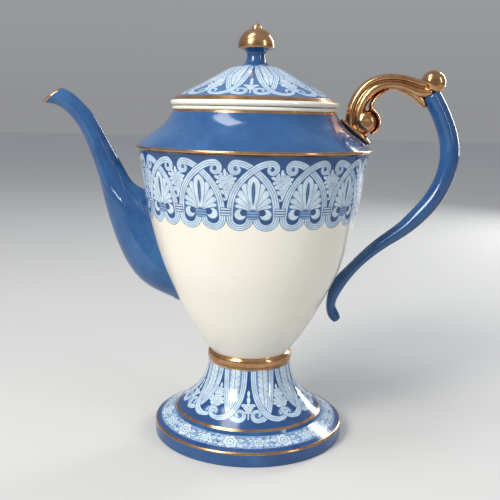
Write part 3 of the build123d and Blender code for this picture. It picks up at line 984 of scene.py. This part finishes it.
def turned_lid():
    t = Turned("lid_shell_skin", 180)
    base = 198.0
    t.runs(cream_glaze, (FLANGE_R - FLANGE_WALL, base), (47.7, base))
    t.band(Profile(arc(47.7, base + 1.6, 1.6, -90, 70, 14), None), cream_glaze)
    t.runs(gilt, t.last, (46.0, 203.2))
    cone = Profile(LID_CONE, 1.0)
    t.printed(cone, printed_glaze, ear_border(cone.length - 4.0, 0.9), EAR_REPEATS, 18, MID,
              LID_PHASE, EAR_FIT_R, vent_ring(cone))
    roof = 221.4 - 3.0
    t.runs(cobalt_glaze, (8.8, 221.4), (0.0, 221.4))
    hollow = inset(LID_CONE, 3.0)
    hollow[-1] = (8.8, roof)
    t.runs(cream_glaze, (0.0, roof), hollow[-1])
    under = Profile(hollow[:0:-1], 1.5)
    t.pierced(under, cream_glaze, [vent_ring(under)])
    t.bore(cream_glaze, cone, under, [vent_ring(cone)], [vent_ring(under)])
    t.runs(cream_glaze, hollow[1], (FLANGE_R - FLANGE_WALL, base))
    return t.build()


def turned_flange():
    t = Turned("lid_flange_skin", 180)
    inner = FLANGE_R - FLANGE_WALL
    t.runs(cream_glaze, (inner, FLANGE_LOW_Z), (FLANGE_R - 1.4, FLANGE_LOW_Z))
    t.band(Profile(arc(FLANGE_R - 1.4, FLANGE_LOW_Z + 1.4, 1.4, -90, 0, 8), None), cream_glaze)
    t.runs(cream_glaze, (FLANGE_R, FLANGE_LOW_Z + 1.4), (FLANGE_R, 198.0), (inner, 198.0), (inner, FLANGE_LOW_Z))
    return t.build()


def turned_knob():
    stem = Turned("knob_stem_skin", 72)
    stem.runs(cobalt_glaze, (0.0, 221.4), (8.8, 221.4))
    waist = [(8.8, 221.4), (6.6, 222.9), (5.4, 225.8), (5.5, 228.4), (8.6, 230.8)]
    stem.band(Profile(waist, 0.5), cobalt_glaze)
    stem.runs(cobalt_glaze, (8.6, 230.8), (0.0, 230.8))
    cap = Turned("knob_cap_skin", 72)
    cap.runs(gilt, (0.0, 230.8), (9.6, 230.8))
    dome = [(9.6, 230.8), (10.3, 231.2), (10.5, 232.2), (10.2, 235.0), (8.6, 238.3), (5.8, 240.9),
            (2.0, 242.4), (0.0, 242.5)]
    cap.band(Profile(dome, 0.5), gilt)
    bud = Turned("knob_bud_skin", 48)
    bud.band(Profile(arc(0.0, 242.0, 3.0, -90, 90, 16), None), gilt)
    return stem.build(), cap.build(), bud.build()


# --- Limbs: the spout and the handle ----------------------------------------------------------------------


class Tube:
    """Rings of points, all of the same count, joined into a smooth skin."""

    def __init__(self, name):
        self.name = name
        self.verts, self.faces, self.slots, self.materials = [], [], [], []

    def slot(self, material):
        if material not in self.materials:
            self.materials.append(material)
        return self.materials.index(material)

    def ring(self, points):
        start = len(self.verts)
        self.verts += [(x * MM, y * MM, z * MM) for x, y, z in points]
        return list(range(start, len(self.verts)))

    def join(self, a, b, material):
        slot = self.slot(material)
        n = len(a)
        for i in range(n):
            j = (i + 1) % n
            self.faces.append((a[i], a[j], b[j], b[i]))
            self.slots.append(slot)

    def cap(self, ring, material):
        """A fan to the ring's centre."""
        slot = self.slot(material)
        hub = len(self.verts)
        self.verts.append(tuple(sum(self.verts[i][k] for i in ring) / len(ring) for k in range(3)))
        for i, first in enumerate(ring):
            self.faces.append((first, ring[(i + 1) % len(ring)], hub))
            self.slots.append(slot)

    def build(self, creases=()):
        mesh = bpy.data.meshes.new(self.name)
        mesh.from_pydata(self.verts, [], self.faces)
        for material in self.materials:
            mesh.materials.append(material)
        mesh.polygons.foreach_set("material_index", self.slots)
        mesh.polygons.foreach_set("use_smooth", [True] * len(self.faces))
        work = bmesh.new()
        work.from_mesh(mesh)
        bmesh.ops.remove_doubles(work, verts=work.verts, dist=1e-6)
        bmesh.ops.recalc_face_normals(work, faces=work.faces)
        work.to_mesh(mesh)
        work.free()
        piece = bpy.data.objects.new(self.name, mesh)
        bpy.context.scene.collection.objects.link(piece)
        return piece


def superellipse(a, power):
    """A point of a rounded section: power 2 is an ellipse, less is nearer a diamond, more nearer a box."""
    c, s = math.cos(a), math.sin(a)
    size = (abs(c) ** power + abs(s) ** power) ** (-1 / power)
    return c * size, s * size


def ridged(a):
    """The loop's section: a soft ridge along the front and the back, and a narrow bevel on the inner side."""
    c, s = superellipse(a, 1.72)
    bevel = 1.0 - 0.13 * math.exp(-((c + 0.52) / 0.15) ** 2)
    return c, s * bevel


def double_roll(a):
    """The gilt arm's section: a large roll outside and a smaller one inside, with a groove between."""
    c = math.cos(a)
    outer = math.sqrt(max(0.0, 1 - ((c - 0.38) / 0.62) ** 2))
    inner = 0.80 * math.sqrt(max(0.0, 1 - ((c + 0.53) / 0.47) ** 2))
    return c, math.copysign(max(outer, inner), math.sin(a))


def round_section(a):
    return math.cos(a), math.sin(a)


def add_limb(tube, stations, section, material, step=1.4, around=40):
    """A limb through stations (x, z, half depth, half width), closed at both ends."""
    path = spline(stations, step)
    last = len(path) - 1
    rings = []
    for i, (x, z, depth, width) in enumerate(path):
        a, b = path[max(i - 1, 0)], path[min(i + 1, last)]
        size = math.hypot(b[0] - a[0], b[1] - a[1])
        nx, nz = (b[1] - a[1]) / size, (a[0] - b[0]) / size
        points = []
        for k in range(around):
            c, s = section(TAU * (k + 0.5) / around)
            points.append((x + nx * c * depth, s * width, z + nz * c * depth))
        rings.append(tube.ring(points))
    for a, b in zip(rings, rings[1:]):
        tube.join(a, b, material)
    tube.cap(rings[0], material)
    tube.cap(rings[-1], material)


def add_boss(tube, centre, radius, material, eye_r, eye_depth, rings=26, around=40):
    """A ball whose front and back have a round eye sunk in them."""
    made = []
    for i in range(1, rings):
        a = math.pi * i / rings
        y, r = -math.cos(a) * radius, math.sin(a) * radius
        sunk = eye_depth * math.exp(-((r / eye_r) ** 2))
        y -= math.copysign(sunk, y)
        made.append(tube.ring([
            (centre[0] + r * math.cos(TAU * k / around), centre[1] + y, centre[2] + r * math.sin(TAU * k / around))
            for k in range(around)
        ]))
    for a, b in zip(made, made[1:]):
        tube.join(a, b, material)
    tube.cap(made[0], material)
    tube.cap(made[-1], material)


# Inner edge, towards the vessel, outer edge and half width, from the lip to inside the vessel
SPOUT_STATIONS = [
    ((-113.0, 206.6), (-124.6, 197.8), 5.0),
    ((-107.6, 204.2), (-116.6, 196.6), 4.9),
    ((-101.6, 199.2), (-110.0, 192.4), 4.9),
    ((-94.9, 191.8), (-104.4, 185.8), 5.2),
    ((-88.8, 182.0), (-100.0, 177.8), 5.8),
    ((-82.8, 171.0), (-96.2, 168.2), 6.6),
    ((-77.0, 160.8), (-93.0, 158.6), 7.6),
    ((-71.6, 152.4), (-90.8, 150.4), 9.0),
    ((-63.2, 147.2), (-88.2, 139.2), 12.2),
    ((-53.0, 136.0), (-84.4, 125.8), 15.6),
    ((-46.0, 122.0), (-77.2, 108.0), 18.4),
    ((-39.0, 111.0), (-64.4, 91.8), 19.2),
    ((-34.0, 101.0), (-44.5, 82.2), 16.0),
]
SPOUT_WALL, LIP_WALL = 2.3, 1.3
SPOUT_AROUND, SPOUT_RINGS = 56, 96
EMBED = 1.2  # how far the spout runs into the vessel's wall
CORNER_FILL = 4.0  # the slip and glaze that round the corner between spout and vessel
SPOUT_ROOT_Z = 116.0
# The moulded fold where the slim spout opens into its broad root, as (x, z)
FOLD = [(-94.5, 172.0), (-90.0, 158.0), (-84.5, 148.0), (-77.5, 141.0), (-69.0, 136.6), (-60.0, 134.6)]


def vessel_radius(z):
    for a, b in zip(VESSEL_OUTSIDE, VESSEL_OUTSIDE[1:]):
        if a[1] <= z <= b[1]:
            return a[0] + (b[0] - a[0]) * (z - a[1]) / (b[1] - a[1])
    return 0.0


def fold_rise(x, z):
    """How far the skin rises, or sinks where it is negative, beside the fold."""
    best, side_of, along = 1e9, 1.0, 0.0
    for i, (a, b) in enumerate(zip(FOLD_LINE, FOLD_LINE[1:])):
        dx, dz = b[0] - a[0], b[1] - a[1]
        f = min(max(((x - a[0]) * dx + (z - a[1]) * dz) / (dx * dx + dz * dz), 0.0), 1.0)
        gap = math.hypot(x - a[0] - f * dx, z - a[1] - f * dz)
        if gap < best:
            best, side_of = gap, dx * (z - a[1]) - dz * (x - a[0])
            along = (i + f) / (len(FOLD_LINE) - 1)
    d = math.copysign(best, side_of)
    fade = math.sin(math.pi * min(max(along, 0.0), 1.0) ** 0.8) ** 0.7
    return fade * (0.95 * math.exp(-((d - 1.5) / 1.5) ** 2) - 0.75 * math.exp(-((d + 1.0) / 1.1) ** 2))


def spout_line(path, angle, inner):
    """One line of the spout's skin from lip to root, ending at the vessel."""
    line = []
    for i, (mx, mz, dx, dz, half_width) in enumerate(path):
        t = i / (len(path) - 1)
        depth = math.hypot(dx, dz)
        wall = (LIP_WALL + (SPOUT_WALL - LIP_WALL) * min(t * 8, 1.0)) if inner else 0.0
        c, s = superellipse(angle, 2.0 if inner else 1.62 + 0.38 * min(max((t - 0.45) / 0.4, 0.0), 1.0))
        x, z = mx + dx / depth * c * (depth / 2 - wall), mz + dz / depth * c * (depth / 2 - wall)
        y = s * (half_width - wall)
        if not inner:
            y += math.copysign(fold_rise(x, z) * min(abs(s) * 1.6, 1.0), s)
        line.append(Vector((x, y, z)))
    sink = -0.1 if inner else EMBED
    for i in range(len(line) - 1, 0, -1):
        a, b = line[i - 1], line[i]
        out_a = math.hypot(a.x, a.y) - vessel_radius(a.z) + sink
        out_b = math.hypot(b.x, b.y) - vessel_radius(b.z) + sink
        if out_a > 0 >= out_b:
            return line[:i] + [a.lerp(b, out_a / (out_a - out_b))]
    return line


def spread_root(line):
    """Turns a line's last few mm out along the vessel."""
    end = line[-1]
    for i, p in enumerate(line):
        near = (p - end).length
        if near < CORNER_FILL:
            share = (1 - near / CORNER_FILL) ** 2
            away = Vector((0, p.y, p.z - SPOUT_ROOT_Z)).normalized()
            moved = p + away * (CORNER_FILL * 0.45 * share)
            reach = vessel_radius(moved.z) - EMBED
            radius = math.hypot(moved.x, moved.y)
            if radius < reach or i == len(line) - 1:
                moved.x *= reach / radius
                moved.y *= reach / radius
            line[i] = moved
    return line


def evenly(line, count):
    """count points evenly spaced along the line."""
    s = [0.0]
    for a, b in zip(line, line[1:]):
        s.append(s[-1] + (b - a).length)
    out, k = [], 0
    for i in range(count):
        want = s[-1] * i / (count - 1)
        while k < len(s) - 2 and s[k + 1] < want:
            k += 1
        f = (want - s[k]) / max(s[k + 1] - s[k], 1e-9)
        out.append(line[k].lerp(line[k + 1], min(f, 1.0)))
    return out


def make_spout():
    stations = [((a[0] + b[0]) / 2, (a[1] + b[1]) / 2, b[0] - a[0], b[1] - a[1], w) for a, b, w in SPOUT_STATIONS]
    path = spline(stations, 1.1)
    tube = Tube("spout_skin")
    skins = []
    for inner in (False, True):
        lines = [spout_line(path, TAU * k / SPOUT_AROUND, inner) for k in range(SPOUT_AROUND)]
        lines = [evenly(line if inner else spread_root(line), SPOUT_RINGS) for line in lines]
        skins.append([tube.ring([line[i] for line in lines]) for i in range(SPOUT_RINGS)])
    outer, inner = skins
    for i in range(SPOUT_RINGS - 1):
        tube.join(outer[i], outer[i + 1], gilt if i < 1 else cobalt_glaze)
        tube.join(inner[i], inner[i + 1], gilt if i < 3 else cobalt_glaze)
    tube.join(inner[0], outer[0], gilt)
    tube.join(outer[-1], inner[-1], cobalt_glaze)
    return tube.build()


LOOP_STATIONS = [
    (102.2, 207.2, 5.6, 6.2),
    (106.7, 200.0, 5.5, 6.2),
    (111.2, 190.9, 5.5, 6.2),
    (114.6, 181.0, 5.6, 6.2),
    (115.6, 171.0, 5.6, 6.1),
    (114.2, 161.6, 5.5, 6.0),
    (110.7, 152.3, 5.4, 5.8),
    (105.2, 143.2, 5.3, 5.6),
    (98.3, 135.2, 5.1, 5.4),
    (90.0, 127.4, 4.5, 5.1),
    (80.0, 120.2, 4.0, 4.8),
    (69.6, 111.6, 3.5, 4.6),
    (60.0, 101.6, 3.4, 4.6),
    (53.0, 92.4, 3.9, 4.6),
    (49.8, 84.6, 3.2, 4.6),
    (49.2, 79.0, 2.9, 4.5),
    (50.8, 74.2, 3.4, 4.2),
    (53.2, 70.6, 2.6, 3.2),
]
ARM_STATIONS = [
    (59.0, 184.4, 4.6, 5.0),
    (58.2, 190.0, 4.9, 5.0),
    (58.9, 197.4, 5.1, 5.1),
    (61.6, 204.4, 5.1, 5.4),
    (66.8, 210.2, 5.0, 5.4),
    (74.0, 213.4, 4.8, 5.4),
    (81.6, 213.8, 4.8, 5.5),
    (89.0, 212.2, 5.2, 5.8),
    (95.4, 210.2, 5.8, 6.0),
    (101.5, 210.4, 5.0, 6.1),
]
# The inner roll's free tip, under the thumb ball
TIP_STATIONS = [(84.0, 210.6, 2.2, 4.4), (89.5, 208.4, 2.5, 4.8), (94.2, 205.4, 2.5, 4.8), (97.6, 202.2, 2.3, 4.2),
                (99.0, 199.8, 1.2, 2.6)]
# The thin strap that leaves the arm's underside and wraps the volute's far edge
WRAP_STATIONS = [(77.0, 209.6, 1.0, 4.2), (71.8, 206.2, 1.3, 4.6), (68.2, 201.8, 1.3, 4.9), (67.6, 198.6, 1.2, 5.0),
                 (69.6, 196.6, 1.1, 5.0), (72.0, 193.4, 1.0, 5.0), (72.6, 189.6, 1.0, 4.8), (71.2, 185.8, 1.0, 4.4),
                 (68.4, 183.6, 0.8, 3.6)]
PAD_STATIONS = [(50.6, 191.8, 0.7, 1.6), (54.0, 188.6, 2.0, 4.6), (59.4, 184.4, 2.7, 6.6), (65.2, 179.9, 2.2, 5.4),
                (67.8, 177.9, 1.0, 2.4)]
THUMB_BALL_R, THUMB_BALL_AT = 7.1, (103.4, 0, 214.1)
VOLUTE_BALL_R, VOLUTE_BALL_AT = 7.3, (64.8, 0, 190.6)


def make_handle():
    """The blue loop, the gilt arm, its two balls and its pad, as (CAD node, slot, piece)."""
    loop = Tube("handle_loop_skin")
    add_limb(loop, LOOP_STATIONS, ridged, cobalt_glaze)
    arm = Tube("handle_scroll_arm_skin")
    add_limb(arm, ARM_STATIONS, double_roll, gilt, 1.0, 72)
    add_limb(arm, TIP_STATIONS, round_section, gilt, 0.8, 28)
    add_limb(arm, WRAP_STATIONS, round_section, gilt, 0.8, 28)
    thumb = Tube("handle_thumb_ball_skin")
    add_boss(thumb, THUMB_BALL_AT, THUMB_BALL_R, gilt, 2.6, 0.7)
    volute = Tube("handle_volute_ball_skin")
    add_boss(volute, VOLUTE_BALL_AT, VOLUTE_BALL_R, gilt, 1.9, 1.5)
    pad = Tube("handle_scroll_pad_skin")
    add_limb(pad, PAD_STATIONS, round_section, gilt, 1.0, 32)
    return [
        ("handle_loop", "cobalt_glaze", loop.build()),
        ("handle_scroll_arm", "gilt", arm.build()),
        ("handle_thumb_ball", "gilt", thumb.build()),
        ("handle_volute_ball", "gilt", volute.build()),
        ("handle_scroll_pad", "gilt", pad.build()),
    ]


VESSEL_OUTSIDE = spline(VESSEL_SIDE, 1.0)
FOLD_LINE = spline(FOLD, 2.0)

finish_piece(turned_foot(), "pot", "printed_glaze", "foot_pedestal")
finish_piece(turned_collar(), "pot", "gilt", "collar_ring")
finish_piece(turned_vessel(), "pot", "printed_glaze", "vessel_body")
finish_piece(turned_shoulder(), "pot", "cobalt_glaze", "shoulder_neck")
finish_piece(turned_rim(), "pot", "cream_glaze", "neck_rim")
finish_piece(turned_lid(), "lid", "printed_glaze", "lid_shell")
finish_piece(turned_flange(), "lid", "cream_glaze", "lid_flange")
stem, cap, bud = turned_knob()
finish_piece(stem, "lid", "cobalt_glaze", "knob_stem")
finish_piece(cap, "lid", "gilt", "knob_cap")
finish_piece(bud, "lid", "gilt", "knob_bud")
finish_piece(make_spout(), "pot", "cobalt_glaze", "spout")
for node, slot, piece in make_handle():
    finish_piece(piece, "pot", slot, node)

# --- Floor, light and camera ------------------------------------------------------------------------------
floor_mesh = bpy.data.meshes.new("floor")
REACH = 6.0
FLOOR_CORNERS = [(-REACH, -REACH, 0), (REACH, -REACH, 0), (REACH, REACH, 0), (-REACH, REACH, 0)]
floor_mesh.from_pydata(FLOOR_CORNERS, [], [(0, 1, 2, 3)])
floor = bpy.data.objects.new("floor", floor_mesh)
bpy.context.scene.collection.objects.link(floor)
floor_look = Look("floor")
floor_look.fixed(Roughness=0.75)
pale = floor_look.mix(floor_look.noise(3.0), (0.53, 0.525, 0.515), (0.57, 0.565, 0.55))
floor_look.link(pale, floor_look.shader.inputs["Base Color"])
floor_mesh.materials.append(floor_look.material)

HORIZON = (0.285, 0.288, 0.295)  # about the far floor, so that no hard line shows
OVERHEAD = (0.46, 0.49, 0.54)
world = bpy.data.worlds.new("studio")
world.use_nodes = True
sky = world.node_tree
direction = sky.nodes.new("ShaderNodeTexCoord").outputs["Generated"]
split = sky.nodes.new("ShaderNodeSeparateXYZ")
climb = sky.nodes.new("ShaderNodeMapRange")
climb.inputs["From Min"].default_value = 0.02
climb.inputs["From Max"].default_value = 0.75
blend = sky.nodes.new("ShaderNodeMix")
blend.data_type = "RGBA"
blend.inputs[6].default_value = (*HORIZON, 1)
blend.inputs[7].default_value = (*OVERHEAD, 1)
sky.links.new(direction, split.inputs[0])
sky.links.new(split.outputs["Z"], climb.inputs["Value"])
sky.links.new(climb.outputs["Result"], blend.inputs["Factor"])
sky.links.new(blend.outputs[2], sky.nodes["Background"].inputs["Color"])
bpy.context.scene.world = world
bpy.context.scene.view_settings.view_transform = "Standard"


def softbox(name, place, aim, size, power, color=(1, 1, 1)):
    data = bpy.data.lights.new(name, "AREA")
    data.shape = "RECTANGLE"
    data.size, data.size_y = size
    data.energy = power
    data.color = color
    lamp = bpy.data.objects.new(name, data)
    lamp.location = place
    lamp.visible_camera = False
    lamp.rotation_euler = (Vector(aim) - Vector(place)).to_track_quat("-Z", "Y").to_euler()
    bpy.context.scene.collection.objects.link(lamp)
    return lamp


softbox("key", (-0.75, -0.85, 0.85), (0, 0, 0.12), (0.40, 0.6), 16.6, (1.0, 0.97, 0.92))
softbox("fill", (1.0, -0.7, 0.55), (0, 0, 0.12), (0.10, 0.6), 2.6, (0.97, 0.98, 1.0))
softbox("overhead", (-0.45, -0.25, 1.15), (0, 0, 0.15), (0.34, 0.50), 4.4)
softbox("rim", (0.75, 0.85, 0.50), (0, 0, 0.15), (0.16, 0.8), 7.0)

camera_data = bpy.data.cameras.new("camera")
camera_data.lens = 53.64  # mm, on a sensor 36 mm wide
camera_data.sensor_width = 36.0
camera = bpy.data.objects.new("camera", camera_data)
CAMERA_DROP, CAMERA_ROLL = math.radians(10.33), math.radians(1.27)
camera.location = (-0.0011, -0.444, 0.1937)
camera.rotation_mode = "QUATERNION"
level = Quaternion((1, 0, 0), math.radians(90) - CAMERA_DROP)
camera.rotation_quaternion = level @ Quaternion((0, 0, 1), CAMERA_ROLL)
bpy.context.scene.collection.objects.link(camera)
bpy.context.scene.camera = camera
